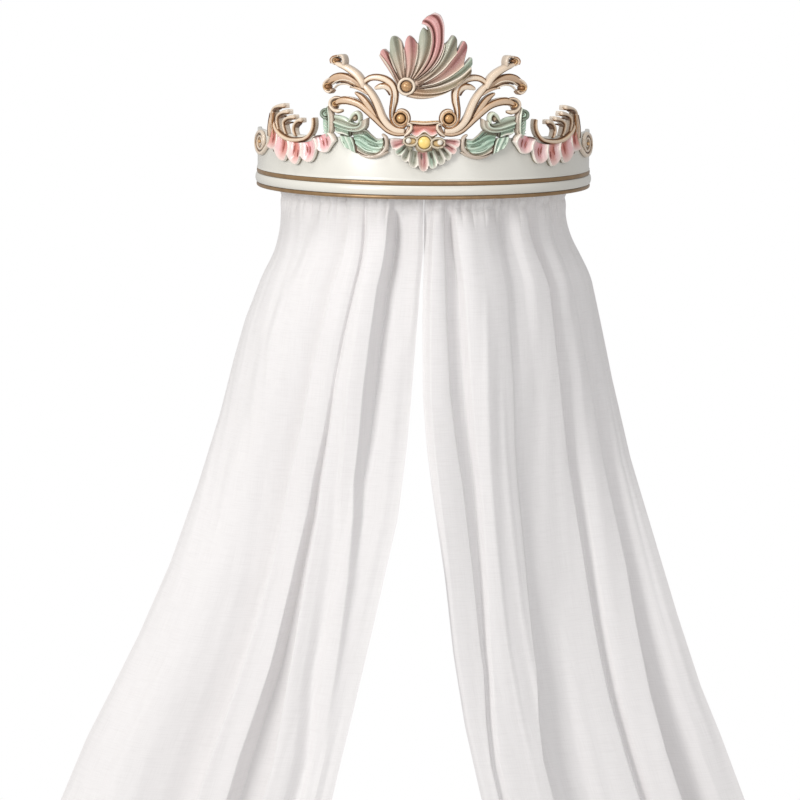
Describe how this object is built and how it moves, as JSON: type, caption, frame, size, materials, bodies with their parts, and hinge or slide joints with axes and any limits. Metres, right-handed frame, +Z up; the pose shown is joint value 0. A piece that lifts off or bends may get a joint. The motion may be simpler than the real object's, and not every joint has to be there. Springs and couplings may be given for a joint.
{
  "type": "bed crown canopy",
  "caption": "Half-round wall crown for a bed: moulded band with carved shell and scroll crest, curtain track and a pair of long drapes that draw aside.",
  "frame": {"origin": "middle of the back rail's rear face, in the plane of the wall", "axes": "+Y into the wall, +Z up, +X to the right seen from the front; the crown bows out toward -Y"},
  "size_m": [2.1828, 0.32, 2.5181],
  "materials": {
    "antique_gold": "hand-rubbed antique gold paint over moulded resin",
    "cream_lacquer": "glossy cream lacquer with gold edges over moulded resin",
    "green_lacquer": "glossy mint green lacquer with cream rims",
    "muslin": "fine plain-woven white cotton and linen",
    "pale_wood": "planed, unfinished",
    "pearl_lacquer": "glossy ivory lacquer",
    "rose_lacquer": "glossy coral rose lacquer with pale rims",
    "shell_lacquer": "satin rose and sage lacquer with cream ridges",
    "track_aluminium": "white coated",
    "white_lacquer": "glossy white lacquer over moulded resin",
    "white_nylon": "moulded",
    "yellow_lacquer": "glossy pale yellow lacquer",
    "zinc_steel": "zinc plated"
  },
  "bodies": {
    "crown": {"back_rail": "pale_wood", "block_screw_left": "zinc_steel", "block_screw_right": "zinc_steel", "bracket_screw_left": "zinc_steel", "bracket_screw_middle": "zinc_steel", "bracket_screw_right": "zinc_steel", "centre_boss": "yellow_lacquer", "centre_bow": "cream_lacquer", "centre_pearl_left": "pearl_lacquer", "centre_pearl_right": "pearl_lacquer", "centre_plaque": "rose_lacquer", "centre_shell": "shell_lacquer", "centre_top_rail": "antique_gold", "crest_pearl": "antique_gold", "crest_shell": "shell_lacquer", "curtain_track": "track_aluminium", "end_block_left": "pale_wood", "end_block_right": "pale_wood", "fascia_band": "white_lacquer", "keyhole_plate_left": "zinc_steel", "keyhole_plate_right": "zinc_steel", "left_acanthus_leaf": "green_lacquer", "left_curled_leaf": "green_lacquer", "left_drape": "muslin", "left_end_hook": "white_nylon", "left_end_volute": "cream_lacquer", "left_inner_scroll": "cream_lacquer", "left_main_scroll": "antique_gold", "left_scroll_pearl": "antique_gold", "left_side_ruffle": "rose_lacquer", "left_side_scroll": "cream_lacquer", "left_upright_leaf": "green_lacquer", "lower_gold_bead": "antique_gold", "rail_screw_left": "zinc_steel", "rail_screw_right": "zinc_steel", "right_acanthus_leaf": "green_lacquer", "right_curled_leaf": "green_lacquer", "right_drape": "muslin", "right_end_hook": "white_nylon", "right_end_volute": "cream_lacquer", "right_inner_scroll": "cream_lacquer", "right_main_scroll": "antique_gold", "right_scroll_pearl": "antique_gold", "right_side_ruffle": "rose_lacquer", "right_side_scroll": "cream_lacquer", "right_upright_leaf": "green_lacquer", "rim_moulding": "white_lacquer", "track_bracket_left": "zinc_steel", "track_bracket_middle": "zinc_steel", "track_bracket_right": "zinc_steel", "upper_gold_bead": "antique_gold"},
    "left_lead": {"left_glider_lead": "white_nylon"},
    "left_second": {"left_glider_second": "white_nylon"},
    "left_third": {"left_glider_third": "white_nylon"},
    "left_fourth": {"left_glider_fourth": "white_nylon"},
    "right_lead": {"right_glider_lead": "white_nylon"},
    "right_second": {"right_glider_second": "white_nylon"},
    "right_third": {"right_glider_third": "white_nylon"},
    "right_fourth": {"right_glider_fourth": "white_nylon"}
  },
  "joints": [
    {"name": "left_draw", "type": "hinge", "parent": "crown", "child": "left_lead", "pos_m": [0, 0, 0], "axis": [0, 0, -1], "range_deg": [0, 45], "deforming": ["left_drape"]},
    {"name": "left_second_slide", "type": "hinge", "parent": "crown", "child": "left_second", "pos_m": [0, 0, 0], "axis": [0, 0, -1], "range_deg": [0, 39.03]},
    {"name": "left_third_slide", "type": "hinge", "parent": "crown", "child": "left_third", "pos_m": [0, 0, 0], "axis": [0, 0, -1], "range_deg": [0, 22.55]},
    {"name": "left_fourth_slide", "type": "hinge", "parent": "crown", "child": "left_fourth", "pos_m": [0, 0, 0], "axis": [0, 0, -1], "range_deg": [0, 6.07]},
    {"name": "right_draw", "type": "hinge", "parent": "crown", "child": "right_lead", "pos_m": [0, 0, 0], "axis": [0, 0, 1], "range_deg": [0, 45], "deforming": ["right_drape"]},
    {"name": "right_second_slide", "type": "hinge", "parent": "crown", "child": "right_second", "pos_m": [0, 0, 0], "axis": [0, 0, 1], "range_deg": [0, 39.03]},
    {"name": "right_third_slide", "type": "hinge", "parent": "crown", "child": "right_third", "pos_m": [0, 0, 0], "axis": [0, 0, 1], "range_deg": [0, 22.55]},
    {"name": "right_fourth_slide", "type": "hinge", "parent": "crown", "child": "right_fourth", "pos_m": [0, 0, 0], "axis": [0, 0, 1], "range_deg": [0, 6.07]}
  ],
  "couplings": [
    {"joint": "left_second_slide", "follows": "left_draw", "ratio": 0.8663},
    {"joint": "left_third_slide", "follows": "left_draw", "ratio": 0.5},
    {"joint": "left_fourth_slide", "follows": "left_draw", "ratio": 0.1337},
    {"joint": "right_second_slide", "follows": "right_draw", "ratio": 0.8663},
    {"joint": "right_third_slide", "follows": "right_draw", "ratio": 0.5},
    {"joint": "right_fourth_slide", "follows": "right_draw", "ratio": 0.1337}
  ]
}
